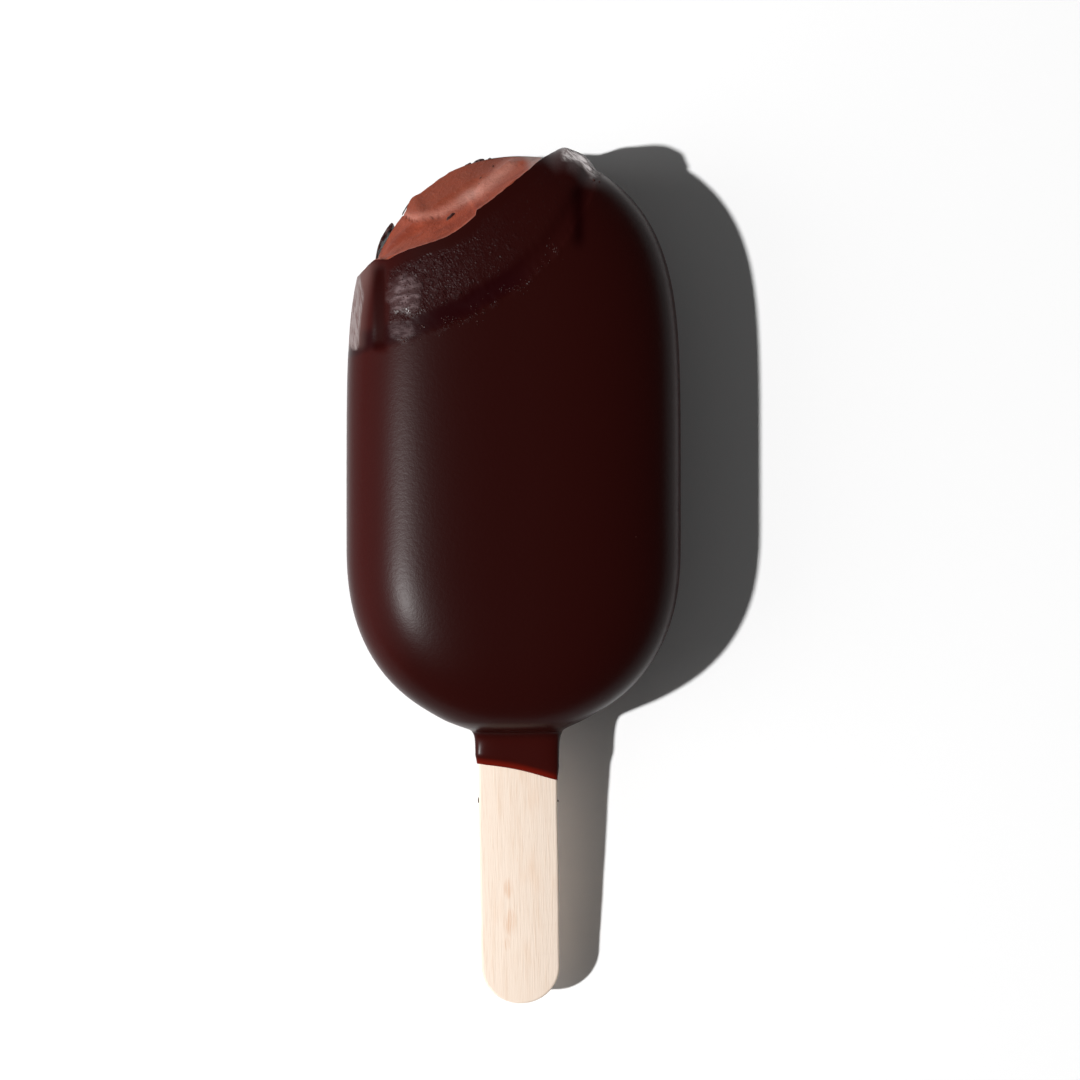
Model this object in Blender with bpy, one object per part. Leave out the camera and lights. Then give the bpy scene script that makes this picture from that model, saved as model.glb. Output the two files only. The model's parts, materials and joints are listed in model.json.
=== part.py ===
"""Chocolate-coated ice cream bar on a flat wooden stick, with one bite out of a corner.

Units are metres. +Z is up and +Y runs from the stick to the bitten end. The bar lies on its back.
While it is modelled, y = 0 is the rounded end around the stick and z = 0 is the bar's mid-plane.
"""

import math

import bmesh
import bpy
from mathutils import Matrix, Vector

# The bar's outline, seen from above
BAR_LENGTH = 0.0873
BAR_HALF_WIDTH = 0.02494
BAR_HALF_THICKNESS = 0.0125
WIDEST_AT = 0.0285
STICK_END_POWERS = (2.5, 2.0)
BITE_END_POWERS = (5.5, 1.76)

# Its section and its rounded ends
SECTION_POWER = 2.7
END_POWER = 3.0
END_ROUND = 0.025
REST_FLAT = 0.00025

# The chocolate, and the room left between pieces that touch
COATING = 0.0012
GAP = 0.0002

# The stick, which slopes down towards its free end
STICK_LENGTH = 0.113
STICK_WIDTH = 0.01185
STICK_THICKNESS = 0.002
STICK_EDGE = 0.0004
STICK_REACH = 0.0414
STICK_SIDE = 0.0005
STICK_DROP = 0.0016
STICK_LEAN = math.radians(5.5)
STICK_YAW = math.radians(0.8)

# The sleeve of chocolate that ran down the stick
COLLAR_WALL = 0.0006
COLLAR_LENGTH = 0.0060
COLLAR_SLANT = 0.21
COLLAR_POWER = 9.0
COLLAR_RINGS = (1.0, 1.0, 0.6, 0.25)
FILLET = 0.0015
FILLET_POWER = 4.0
FILLET_RINGS = (-0.25, 0.0, 0.125, 0.25)

# The bite: the middle of its edge, which way it faces, and the stretch of it that is cut
BITE_MIDDLE = Vector((-0.00676, 0.0776))
BITE_TURN = math.radians(29.8)
BITE_STRETCH = (-0.021, 0.017)
BITE_OUTWARD = 0.030
BITE_CLEARANCE = 1.15

# Its edge on top: each tooth mark's place, half width and depth, and where it runs out of the bar
FIRST_TOOTH = (-0.0036, 0.0095, 0.0014)
NICK = (0.0006, 0.0015)
SECOND_TOOTH_START = -0.0004
SECOND_TOOTH_SLOPE = 0.08
SECOND_TOOTH_CURVE = 6.0
NEAR_CORNER = (-0.0156, 0.0016, 0.0007)
RUN_OUT_AT = 0.0134
RUN_OUT_SLOPE = 1.1

# Its face: the height where it starts, lower towards both tips, the rim it slopes out to, and a ledge
BITE_TOP = 0.012
BITE_TIP_DROP = 0.0075
BITE_TIPS = (-0.001, 0.0145)
LEAST_TOP = 0.002
BITE_RIM = 0.0067
BITE_RIM_CURVE = 26.0
LEDGE = (0.48, 0.62)
LEDGE_SHARE = 0.16
HOLLOW_SHARE = 0.12
UNDERCUT = 0.02

# Chocolate that the bite pushed outwards, next to its far corner
LIFTED_MIDDLE = Vector((0.0099, 0.0854))
LIFTED_RADIUS = 0.0052
LIFTED_BY = 0.0012
LIFTED_ABOVE = (-0.010, 0.0)

# How finely the surfaces are divided
SHELL_AROUND = 44
CORE_AROUND = 36
SHELL_RINGS = 30
CORE_RINGS = 26
CROWDING = 1.6
BITE_STEPS = (38, 15)


def clear_scene():
    for thing in list(bpy.data.objects):
        bpy.data.objects.remove(thing)


def smooth_step(low, high, value):
    share = min(max((value - low) / (high - low), 0.0), 1.0)
    return share * share * (3.0 - 2.0 * share)


def make_material(name, colour, roughness):
    material = bpy.data.materials.new(name)
    material.use_nodes = True
    shader = material.node_tree.nodes["Principled BSDF"]
    shader.inputs["Base Color"].default_value = (*colour, 1.0)
    shader.inputs["Roughness"].default_value = roughness
    shader.inputs["Metallic"].default_value = 0.0
    return material


def make_object(name, shape, collection, frame, material=None):
    """Turns a finished bmesh into a smooth-shaded object that hangs on the bar's frame."""
    bmesh.ops.recalc_face_normals(shape, faces=shape.faces)
    mesh = bpy.data.meshes.new(name)
    shape.to_mesh(mesh)
    shape.free()
    mesh.shade_smooth()
    mesh.set_sharp_from_angle(angle=math.radians(40))
    piece = bpy.data.objects.new(name, mesh)
    piece.parent = frame
    collection.objects.link(piece)
    if material:
        mesh.materials.append(material)
    else:
        piece.hide_render = True
        piece.display_type = "WIRE"
    return piece


def cut(piece, cutter):
    modifier = piece.modifiers.new("less " + cutter.name, "BOOLEAN")
    modifier.operation = "DIFFERENCE"
    modifier.solver = "EXACT"
    modifier.object = cutter


# ---- The bar's form ----

def half_width(y, inset):
    """Half of the outline's width at y, for a surface that lies inset below the chocolate's outside."""
    if y < WIDEST_AT:
        reach = WIDEST_AT - inset
        power, root = STICK_END_POWERS
    else:
        reach = BAR_LENGTH - WIDEST_AT - inset
        power, root = BITE_END_POWERS
    run = min(abs(y - WIDEST_AT) / reach, 1.0)
    return (BAR_HALF_WIDTH - inset) * (1.0 - run**power) ** (1.0 / root)


def half_height(y, inset):
    """Half of the bar's thickness at y: level along the middle, rounded over at both ends."""
    from_end = max(min(y, BAR_LENGTH - y) - inset, 0.0)
    fall = max(1.0 - from_end / (END_ROUND - inset), 0.0)
    return (BAR_HALF_THICKNESS - inset) * (1.0 - fall**END_POWER) ** (1.0 / END_POWER)


def section_point(angle, width, height, power):
    """The point of a squared-off ellipse that lies towards angle, as x and z."""
    across, up = math.cos(angle), math.sin(angle)
    size = (abs(across) ** power + abs(up) ** power) ** (1.0 / power)
    return width * across / size, height * up / size


def bar_point(y, angle, inset):
    """A point of the plain bar, before the sleeve and the bite."""
    x, z = section_point(angle, half_width(y, inset), half_height(y, inset), SECTION_POWER)
    return Vector((x, y, max(z, REST_FLAT + inset - BAR_HALF_THICKNESS)))


def stick_height(y):
    """Height of the stick's middle at y."""
    return y * math.tan(STICK_LEAN) - STICK_DROP


def joined(bar_size, sleeve_size):
    """The larger of two sizes, with a soft change from one to the other."""
    return (bar_size**FILLET_POWER + sleeve_size**FILLET_POWER) ** (1.0 / FILLET_POWER)


def shell_point(y, angle):
    """A point of the chocolate's outside, with the sleeve on the stick and the lifted corner."""
    on_bar = max(y, 0.0)
    on_sleeve = 1.0 - smooth_step(0.0, FILLET, y)
    sleeve_left = 1.0 - smooth_step(FILLET, 4 * FILLET, y)
    bar_width, bar_height = half_width(on_bar, 0.0), half_height(on_bar, 0.0)
    width = joined(bar_width, sleeve_left * (STICK_WIDTH / 2 + COLLAR_WALL))
    height = joined(bar_height, sleeve_left * (STICK_THICKNESS / 2 + COLLAR_WALL))
    power = SECTION_POWER + (COLLAR_POWER - SECTION_POWER) * on_sleeve
    x, z = section_point(angle, width, height, power)
    x += STICK_SIDE * on_sleeve
    z = max(z + stick_height(y) * on_sleeve, REST_FLAT - BAR_HALF_THICKNESS)
    down_sleeve = max(-y, 0.0) / COLLAR_LENGTH
    point = Vector((x, y - COLLAR_SLANT * x * down_sleeve, z))
    away = Vector((x, y)) - LIFTED_MIDDLE
    lift = LIFTED_BY * math.exp(-((away.length / LIFTED_RADIUS) ** 4)) * smooth_step(*LIFTED_ABOVE, z)
    outward = Vector((x, y - BAR_LENGTH + END_ROUND, 0.0)).normalized()
    return point + outward * lift


def bar_stations(count, inset):
    """Ring positions from end to end, closer together towards both ends."""
    middle = BAR_LENGTH / 2
    reach = middle - inset
    stations = []
    for step in range(count + 1):
        place = 2.0 * step / count - 1.0
        crowded = math.copysign(1.0 - (1.0 - abs(place)) ** CROWDING, place)
        stations.append(middle + reach * crowded)
    return stations


def shell_stations():
    """The sleeve's rings, with its end twice to close it flat, then the bar's own."""
    sleeve = [-COLLAR_LENGTH * share for share in COLLAR_RINGS]
    fillet = [FILLET * share for share in FILLET_RINGS]
    return sleeve + fillet + bar_stations(SHELL_RINGS, 0.0)[1:]


def ringed_form(stations, around, point):
    """A ball whose rings are moved to the stations, and whose points are placed by point(y, angle)."""
    shape = bmesh.new()
    rings = len(stations) - 1
    bmesh.ops.create_uvsphere(shape, u_segments=around, v_segments=rings, radius=1.0)
    for vertex in shape.verts:
        down = math.acos(max(-1.0, min(1.0, vertex.co.z)))
        ring = round(down / math.pi * rings)
        angle = math.atan2(vertex.co.y, vertex.co.x)
        y = stations[ring]
        if ring in (0, rings):
            vertex.co = (point(y, 0.0) + point(y, math.pi)) / 2
        else:
            vertex.co = point(y, angle)
    return shape


def plain_bar(around, inset):
    return ringed_form(bar_stations(CORE_RINGS, inset), around, lambda y, angle: bar_point(y, angle, inset))


# ---- The bite ----

def bump(place, half_width, height, at):
    """A round-topped bump of that height, which ends half_width to each side of its place."""
    away = min(abs(at - place) / half_width, 1.0)
    return height * math.cos(math.pi / 2 * away) ** 2


def bite_edge(along):
    """How far out the bite starts on top: one deep tooth mark, a nick, then a second that runs out."""
    first = -bump(*FIRST_TOOTH, along) + bump(*NEAR_CORNER, along)
    past = max(along - NICK[1], 0.0)
    second = SECOND_TOOTH_START + SECOND_TOOTH_SLOPE * past + SECOND_TOOTH_CURVE * past**2
    after_nick = smooth_step(*NICK, along)
    run_out = RUN_OUT_SLOPE * max(along - RUN_OUT_AT, 0.0)
    return first * (1.0 - after_nick) + second * after_nick + run_out


def bite_depth(along, z):
    """How far out the bitten face lies, at a place along the bite and a height."""
    edge = bite_edge(along)
    rim = max(BITE_RIM - BITE_RIM_CURVE * along**2, edge)
    tip = abs(along - BITE_TIPS[0]) / BITE_TIPS[1]
    top = max(BITE_TOP - BITE_TIP_DROP * tip**3, LEAST_TOP)
    if z >= top:
        return edge + UNDERCUT * (z - top)
    if z <= 0.0:
        return rim + UNDERCUT * z
    down = 1.0 - z / top
    steady = 1.0 - LEDGE_SHARE - HOLLOW_SHARE
    share = steady * down + LEDGE_SHARE * smooth_step(*LEDGE, down) + HOLLOW_SHARE * down**2
    return edge + (rim - edge) * share


def bite_cutter():
    """A wall shaped like the bitten face, drawn outwards past the bar's corner."""
    shape = bmesh.new()
    steps_along, steps_up = BITE_STEPS
    bmesh.ops.create_grid(shape, x_segments=steps_along, y_segments=steps_up, size=1.0)
    low, high = BITE_STRETCH
    side = Vector((math.cos(BITE_TURN), math.sin(BITE_TURN), 0.0))
    out = Vector((-side.y, side.x, 0.0))
    middle = Vector((BITE_MIDDLE.x, BITE_MIDDLE.y, 0.0))
    for vertex in shape.verts:
        along = low + (high - low) * (vertex.co.x + 1.0) / 2.0
        z = BITE_CLEARANCE * BAR_HALF_THICKNESS * vertex.co.y
        vertex.co = middle + side * along + out * bite_depth(along, z) + Vector((0.0, 0.0, z))
    grown = bmesh.ops.extrude_face_region(shape, geom=shape.faces[:])
    moved = [part for part in grown["geom"] if isinstance(part, bmesh.types.BMVert)]
    bmesh.ops.translate(shape, verts=moved, vec=out * BITE_OUTWARD)
    return shape


# ---- The stick ----

def pill(length, width, thickness, edge, segments=28):
    """A flat bar with round ends, from y = 0 to y = length, its top and bottom edges eased by edge."""
    shape = bmesh.new()
    half_step = math.pi / segments
    radius = width / 2 / math.cos(half_step)
    bmesh.ops.create_circle(shape, cap_ends=True, segments=segments, radius=radius)
    bmesh.ops.rotate(shape, verts=shape.verts, matrix=Matrix.Rotation(half_step, 3, "Z"))
    for vertex in shape.verts:
        vertex.co.y += length - width / 2 if vertex.co.y > 0.0 else width / 2
        vertex.co.z = -thickness / 2
    grown = bmesh.ops.extrude_face_region(shape, geom=shape.faces[:])
    moved = [part for part in grown["geom"] if isinstance(part, bmesh.types.BMVert)]
    bmesh.ops.translate(shape, verts=moved, vec=(0.0, 0.0, thickness))
    if edge > 0.0:
        flat_edges = [line for line in shape.edges if abs(line.verts[0].co.z - line.verts[1].co.z) < 1e-6]
        bmesh.ops.bevel(
            shape, geom=flat_edges, offset=edge, segments=2, profile=0.5, affect="EDGES", material=-1
        )
    return shape


def lay_in_bar(piece):
    """Puts the stick, or its slot, where it runs through the bar."""
    piece.rotation_euler = (STICK_LEAN, 0.0, STICK_YAW)
    piece.location = (STICK_SIDE + STICK_REACH * math.sin(STICK_YAW), -STICK_REACH, stick_height(-STICK_REACH))


# ---- Putting it together ----

def settle(frame, pieces):
    """Moves the frame so that the whole bar stands on z = 0, centred on the origin."""
    bpy.context.view_layer.update()
    graph = bpy.context.evaluated_depsgraph_get()
    corners = []
    for piece in pieces:
        ready = piece.evaluated_get(graph)
        corners += [ready.matrix_world @ vertex.co for vertex in ready.data.vertices]
    low = Vector([min(corner[axis] for corner in corners) for axis in range(3)])
    high = Vector([max(corner[axis] for corner in corners) for axis in range(3)])
    frame.location = (-(low.x + high.x) / 2, -(low.y + high.y) / 2, -low.z)


def build():
    clear_scene()
    parts = bpy.data.collections.new("ice_cream_bar")
    cutters = bpy.data.collections.new("cutters")
    bpy.context.scene.collection.children.link(parts)
    bpy.context.scene.collection.children.link(cutters)
    frame = bpy.data.objects.new("bar_frame", None)
    parts.objects.link(frame)

    chocolate = make_material("chocolate", (0.021, 0.005, 0.004), 0.35)
    ice_cream = make_material("chocolate_ice_cream", (0.27, 0.09, 0.055), 0.75)
    wood = make_material("birch", (0.87, 0.75, 0.62), 0.7)

    shell = ringed_form(shell_stations(), SHELL_AROUND, shell_point)
    coating = make_object("coating", shell, parts, frame, chocolate)
    core = make_object("ice_cream", plain_bar(CORE_AROUND, COATING + GAP), parts, frame, ice_cream)
    stick_shape = pill(STICK_LENGTH, STICK_WIDTH, STICK_THICKNESS, STICK_EDGE)
    stick = make_object("stick", stick_shape, parts, frame, wood)
    lay_in_bar(stick)

    hollow = make_object("hollow", plain_bar(CORE_AROUND, COATING), cutters, frame)
    bite = make_object("bite", bite_cutter(), cutters, frame)
    room = 2 * GAP
    slot_shape = pill(STICK_LENGTH + GAP, STICK_WIDTH + room, STICK_THICKNESS + room, 0.0)
    slot = make_object("slot", slot_shape, cutters, frame)
    lay_in_bar(slot)

    for cutter in (hollow, slot, bite):
        cut(coating, cutter)
    for cutter in (slot, bite):
        cut(core, cutter)
    settle(frame, (coating, core, stick))


build()
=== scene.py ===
"""Chocolate-coated ice cream bar on a birch stick, with one bite out of its far left corner.

Units are metres. The frame's +Z is up and +Y runs from the stick to the bitten end.
The bar's own frame, in which its forms are worked out, has y = 0 at the rounded end around the stick
and z = 0 at the bar's mid-plane.
"""

import functools
import json
import math
import random

import bmesh
import bpy
from mathutils import Matrix, Vector, noise

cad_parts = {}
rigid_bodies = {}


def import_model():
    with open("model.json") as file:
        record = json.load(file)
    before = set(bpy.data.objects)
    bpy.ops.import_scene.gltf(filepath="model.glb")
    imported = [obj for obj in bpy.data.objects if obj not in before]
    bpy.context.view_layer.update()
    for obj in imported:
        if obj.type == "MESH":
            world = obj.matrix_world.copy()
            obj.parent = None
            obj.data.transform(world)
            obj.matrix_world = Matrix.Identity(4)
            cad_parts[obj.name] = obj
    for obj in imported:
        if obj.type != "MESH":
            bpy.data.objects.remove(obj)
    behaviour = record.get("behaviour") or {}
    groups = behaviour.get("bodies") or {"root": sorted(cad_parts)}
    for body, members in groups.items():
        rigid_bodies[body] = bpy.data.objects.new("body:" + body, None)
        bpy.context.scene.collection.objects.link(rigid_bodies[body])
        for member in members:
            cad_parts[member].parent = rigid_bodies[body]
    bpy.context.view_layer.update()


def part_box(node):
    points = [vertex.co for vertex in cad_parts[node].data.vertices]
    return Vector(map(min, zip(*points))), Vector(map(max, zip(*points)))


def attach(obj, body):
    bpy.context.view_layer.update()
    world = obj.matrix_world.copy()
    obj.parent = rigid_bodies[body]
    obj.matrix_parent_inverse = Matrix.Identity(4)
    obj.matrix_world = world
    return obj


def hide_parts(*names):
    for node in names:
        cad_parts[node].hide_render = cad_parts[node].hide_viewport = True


for thing in list(bpy.data.objects):
    bpy.data.objects.remove(thing)
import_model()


# ---- The stick ----
# A flat pill of rotary-cut birch veneer, stamped out and tumbled so that its edges are eased.
# It is pushed into the bar before the bar is frozen hard, and slopes down a little towards its free end.

STICK_LENGTH = 0.113
STICK_WIDTH = 0.01185
STICK_THICKNESS = 0.002
STICK_EDGE = 0.0004
STICK_REACH = 0.0414
STICK_SIDE = 0.0005
STICK_DROP = 0.0016
STICK_LEAN = math.radians(5.5)
STICK_YAW = math.radians(0.8)
STICK_ROUND = 40
STICK_CUTS = 44
STICK_WAVER = 0.00009
HAIR = 1e-6

BAR_HALF_THICKNESS = 0.0125
COATING = 0.0012
CAD_GAP = 0.0002

BIRCH_PALE = (0.80, 0.665, 0.555)
BIRCH_GRAIN = (0.72, 0.555, 0.43)
BIRCH_TINT = (0.74, 0.50, 0.34)
BIRCH_KNOT = (0.66, 0.40, 0.25)
KNOTS = (
    # x, y, half across, half along
    (-0.0008, -0.0238, 0.0009, 0.0020),
    (-0.0006, -0.0290, 0.0012, 0.0026),
    (-0.0010, -0.0323, 0.0005, 0.0014),
)

coat_low, coat_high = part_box("coating")
ice_low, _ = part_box("ice_cream")
BAR_PLACE = Vector((
    (coat_low.x + coat_high.x) / 2,
    ice_low.y - COATING - CAD_GAP,
    coat_high.z - BAR_HALF_THICKNESS,
))


class Wire:
    """A node's output. Arithmetic on it adds Math nodes to the same material."""

    def __init__(self, finish, socket):
        self.finish = finish
        self.socket = socket

    def maths(self, operation, *terms):
        return self.finish.node("Math", {"operation": operation}, dict(enumerate(terms)))

    def __add__(self, other):
        return self.maths("ADD", self, other)

    __radd__ = __add__

    def __sub__(self, other):
        return self.maths("SUBTRACT", self, other)

    def __rsub__(self, other):
        return self.maths("SUBTRACT", other, self)

    def __mul__(self, other):
        return self.maths("MULTIPLY", self, other)

    __rmul__ = __mul__

    def __truediv__(self, other):
        return self.maths("DIVIDE", self, other)

    def __pow__(self, other):
        return self.maths("POWER", self, other)

    def rise(self, low, high):
        """0 up to low, 1 from high on, and a soft change between them. The two may be the other way round."""
        ends = {"Value": self, "From Min": low, "From Max": high}
        return self.finish.node("MapRange", {"interpolation_type": "SMOOTHSTEP"}, ends)


class Finish:
    """A material in the making, around its Principled shader."""

    def __init__(self, name, constants):
        self.material = bpy.data.materials.new(name)
        self.material.use_nodes = True
        self.tree = self.material.node_tree
        self.shader = self.tree.nodes["Principled BSDF"]
        self.connect(self.shader, constants)
        self.place = self.node("TexCoord", {}, {}, "Object")

    def connect(self, node, sockets):
        for key, value in sockets.items():
            if isinstance(value, Wire):
                self.tree.links.new(value.socket, node.inputs[key])
            else:
                node.inputs[key].default_value = value

    def node(self, kind, settings, sockets, output=0):
        """Any node: its type, its settings, then the values and wires of its sockets."""
        made = self.tree.nodes.new("ShaderNode" + kind)
        for name, value in settings.items():
            setattr(made, name, value)
        self.connect(made, sockets)
        return Wire(self, made.outputs[output])

    def axis(self, name):
        return self.node("SeparateXYZ", {}, {"Vector": self.place}, name)

    def mask(self, name):
        return self.node("Attribute", {"attribute_name": name}, {}, "Fac")

    def laid(self, size, turn):
        """The place measured in cells of that size along x, y and z, which are turned about z."""
        size = (size, size, size) if isinstance(size, float) else size
        where = {"Vector": self.place, "Rotation": (0.0, 0.0, turn), "Scale": size}
        return self.node("Mapping", {"vector_type": "TEXTURE"}, where)

    def grain(self, size, turn=0.0, detail=2.0, roughness=0.5):
        """Cloudy noise from 0 to 1, whose clouds have that size."""
        looks = {"Vector": self.laid(size, turn), "Scale": 1.0, "Detail": detail, "Roughness": roughness}
        return self.node("TexNoise", {}, looks)

    def pebbles(self, size, turn=0.0):
        """Angular grains of that size, of all heights from 0 to 1, most of them low."""
        looks = {"Vector": self.laid(size, turn), "Scale": 1.0}
        cells = self.node("TexVoronoi", {"distance": "MANHATTAN"}, looks, "Distance")
        tall = self.node("TexVoronoi", {"distance": "MANHATTAN"}, looks, "Color")
        return (1.0 - cells) * (tall * 1.3) ** 3.0

    def spot(self, x, y, width, length):
        """1 in the middle of an upright oval on the bar, and 0 from its edge on."""
        across = (self.axis("X") - (x + BAR_PLACE.x)) / width
        along = (self.axis("Y") - (y + BAR_PLACE.y)) / length
        return (across * across + along * along).rise(1.0, 0.0)

    def mix(self, share, first, second):
        """Goes from the first colour to the second as share goes from 0 to 1."""
        pair = [colour if isinstance(colour, Wire) else (*colour, 1.0) for colour in (first, second)]
        return self.node("Mix", {"data_type": "RGBA"}, {0: share, 6: pair[0], 7: pair[1]}, 2)

    def paint(self, **wires):
        self.connect(self.shader, {name.replace("_", " "): wire for name, wire in wires.items()})
        return self.material

    def bumps(self, height, depth):
        return self.node("Bump", {}, {"Height": height, "Distance": depth})


def make_piece(name, shape, material=None, sharp=40.0):
    """Turns a finished bmesh, which is in the bar's frame, into an object with its place in its mesh."""
    bmesh.ops.recalc_face_normals(shape, faces=shape.faces)
    bmesh.ops.translate(shape, verts=shape.verts, vec=BAR_PLACE)
    mesh = bpy.data.meshes.new(name)
    shape.to_mesh(mesh)
    shape.free()
    mesh.shade_smooth()
    mesh.set_sharp_from_angle(angle=math.radians(sharp))
    piece = bpy.data.objects.new(name, mesh)
    bpy.context.scene.collection.objects.link(piece)
    if material:
        mesh.materials.append(material)
    return piece


def stick_height(y):
    """Height of the stick's middle at y."""
    return y * math.tan(STICK_LEAN) - STICK_DROP


def pill(length, width, thickness, edge, cuts, waver):
    """A flat bar with round ends, from y = 0 to y = length, its long sides wavering a little."""
    shape = bmesh.new()
    half_step = math.pi / STICK_ROUND
    radius = width / 2 / math.cos(half_step)
    bmesh.ops.create_circle(shape, cap_ends=True, segments=STICK_ROUND, radius=radius)
    bmesh.ops.rotate(shape, verts=shape.verts, matrix=Matrix.Rotation(half_step, 3, "Z"))
    for vertex in shape.verts:
        vertex.co.y += length - width / 2 if vertex.co.y > 0.0 else width / 2
        vertex.co.z = -thickness / 2
    long_sides = [line for line in shape.edges if line.calc_length() > length / 2]
    bmesh.ops.subdivide_edges(shape, edges=long_sides, cuts=cuts)
    for vertex in shape.verts:
        side = math.copysign(1.0, vertex.co.x)
        wave = noise.noise(Vector((side * 7.3, vertex.co.y * 160.0, 0.0)))
        wave += 0.5 * noise.noise(Vector((side * 3.1, vertex.co.y * 520.0, 4.0)))
        vertex.co.x += waver * wave
    grown = bmesh.ops.extrude_face_region(shape, geom=shape.faces[:])
    moved = [part for part in grown["geom"] if isinstance(part, bmesh.types.BMVert)]
    bmesh.ops.translate(shape, verts=moved, vec=(0.0, 0.0, thickness))
    if edge > 0.0:
        flat_edges = [line for line in shape.edges if abs(line.verts[0].co.z - line.verts[1].co.z) < HAIR]
        bmesh.ops.bevel(
            shape, geom=flat_edges, offset=edge, segments=4, profile=0.5, affect="EDGES", material=-1
        )
    return shape


def lay_in_bar(shape):
    """Puts the stick, or its slot, where it runs through the bar."""
    turn = Matrix.Rotation(STICK_YAW, 4, "Z") @ Matrix.Rotation(STICK_LEAN, 4, "X")
    start = Vector((STICK_SIDE + STICK_REACH * math.sin(STICK_YAW), -STICK_REACH, stick_height(-STICK_REACH)))
    bmesh.ops.transform(shape, verts=shape.verts, matrix=Matrix.Translation(start) @ turn)
    return shape


def birch_finish():
    wood = Finish("birch veneer", {"Roughness": 0.62, "Specular IOR Level": 0.25})
    fibres = wood.grain((0.00022, 0.009, 0.0006), STICK_YAW, 3.0, 0.6)
    bands = wood.grain((0.0013, 0.05, 0.002), STICK_YAW, 2.0, 0.5)
    pores = wood.grain((0.00012, 0.0022, 0.0004), STICK_YAW, 1.0, 0.5)
    clouds = wood.grain((0.004, 0.012, 0.01), STICK_YAW, 2.0, 0.5)
    streaks = (fibres.rise(0.42, 0.74) * 0.5 + bands.rise(0.45, 0.75) * 0.4).rise(0.0, 1.0)
    colour = wood.mix(streaks, BIRCH_PALE, BIRCH_GRAIN)
    colour = wood.mix(clouds.rise(0.56, 0.8) * 0.35, colour, BIRCH_TINT)
    colour = wood.mix(pores.rise(0.66, 0.8) * 0.35, colour, BIRCH_TINT)
    for knot in KNOTS:
        colour = wood.mix(wood.spot(*knot) * fibres.rise(0.35, 0.65) * 0.6, colour, BIRCH_KNOT)
    relief = fibres * 0.7 + pores * 0.3
    return wood.paint(Base_Color=colour, Normal=wood.bumps(relief, 0.00006))


stick_shape = pill(STICK_LENGTH, STICK_WIDTH, STICK_THICKNESS, STICK_EDGE, STICK_CUTS, STICK_WAVER)
stick = make_piece("birch_stick", lay_in_bar(stick_shape), birch_finish())
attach(stick, "root")
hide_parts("stick")


# ---- The ice cream ----
# Chocolate ice cream, moulded as a fat pill around the stick. The bite took its far left corner:
# the face slopes out from the top edge to a rim at mid height, with a ledge and the drag marks of teeth.

BAR_LENGTH = 0.0873
BAR_HALF_WIDTH = 0.02494
WIDEST_AT = 0.0285
STICK_END_POWERS = (2.5, 2.0)
BITE_END_POWERS = (5.5, 1.76)
SECTION_POWER = 2.7
END_POWER = 3.0
END_ROUND = 0.025
REST_FLAT = 0.00025

CAMERA_HEIGHT = 0.40
EYE_HEIGHT = CAMERA_HEIGHT - BAR_PLACE.z
VIEW_MIDDLE = Vector((0.00393, 0.02873, 0.0))

BITE_MIDDLE = Vector((-0.00676, 0.0776, 0.0))
BITE_TURN = math.radians(29.8)
BITE_SIDE = Vector((math.cos(BITE_TURN), math.sin(BITE_TURN), 0.0))
BITE_OUT = Vector((-BITE_SIDE.y, BITE_SIDE.x, 0.0))
BITE_STRETCH = (-0.021, 0.017)
BITE_OUTWARD = 0.030
BITE_CLEARANCE = 1.15
FIRST_TOOTH = (-0.0036, 0.0095, 0.0014)  # where its middle lies, half its width, its depth
NICK = (0.0007, 0.0014)
SECOND_TOOTH_START = -0.00016
SECOND_TOOTH_SLOPE = 0.186
SECOND_TOOTH_CURVE = 0.0030
SECOND_TOOTH_LENGTH = 0.0122
NEAR_CORNER = (-0.0157, 0.0040, 0.0018, 0.0009)  # where its top lies, its width to either side, its height
LEAST_TOP = 0.002
BITE_RIM = 0.0067
BITE_RIM_CURVE = 26.0
RIM_KNOB = (-0.0064, 0.0019, 0.0006)  # where its top lies, half its width, its height
LEDGE = (0.48, 0.62)
LEDGE_SHARE = 0.16
HOLLOW_SHARE = 0.12
UNDERCUT = 0.02
CRACK_START = (-0.0088, -0.0084)
CRACK_END = -0.0033
CRACK_FADE = 0.0006
CRACK_STEP = 0.0013
CRACK_SLOPE = 0.40
CRACK_BEND = 0.0040
CRACK_CURVE = 820.0
CRACK_DEPTH = 0.00030
CRACK_HALF_WIDTH = 0.00030
CRACK_WAVER = 0.00012
CREST = 0.0021
CREST_BEND = 0.0030
CREST_SLOPE = 0.17
CREST_SHARP = ((0.0015, 0.0040), (0.0085, 0.0110))
CREST_HEIGHT = 0.00065
CREST_WIDTH = 0.00055
SWELLS = 0.00022
DRAG_MARKS = 0.00010
PITS = 0.00004
FACE_STEPS = (150, 112)
CORE_AROUND = 120
CORE_STEP = 0.0010

ICE_CREAM = (0.255, 0.047, 0.021)
# Pale ice cream, also used as painted highlight on the crest and the bite's edge.
ICE_CREAM_PALE_AND_HIGHLIGHT = (0.44, 0.180, 0.135)
ICE_CREAM_DEEP = (0.165, 0.025, 0.011)
ICE_CREAM_UPPER = (0.195, 0.039, 0.018)
# Grey: painted shade on the ice cream's far tip, and grey frost on the crest.
ICE_CREAM_GREY_SHADE_AND_FROST = (0.27, 0.185, 0.165)
# Painted shade in the crack across the bitten face.
ICE_CREAM_CRACK_SHADE = (0.060, 0.012, 0.008)


def smooth_step(low, high, value):
    share = min(max((value - low) / (high - low), 0.0), 1.0)
    return share * share * (3.0 - 2.0 * share)


def within(start, end, value):
    """1 between two soft ends and 0 outside them. Each end is the pair of values that it runs between."""
    return smooth_step(*start, value) * (1.0 - smooth_step(*end, value))


def as_seen(point):
    """Where a point looks to be from the camera's height: the higher it lies, the further out it looks."""
    seen = VIEW_MIDDLE + (point - VIEW_MIDDLE) / (1.0 - max(point.z, 0.0) / EYE_HEIGHT)
    return Vector((seen.x, seen.y, point.z))


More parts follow.
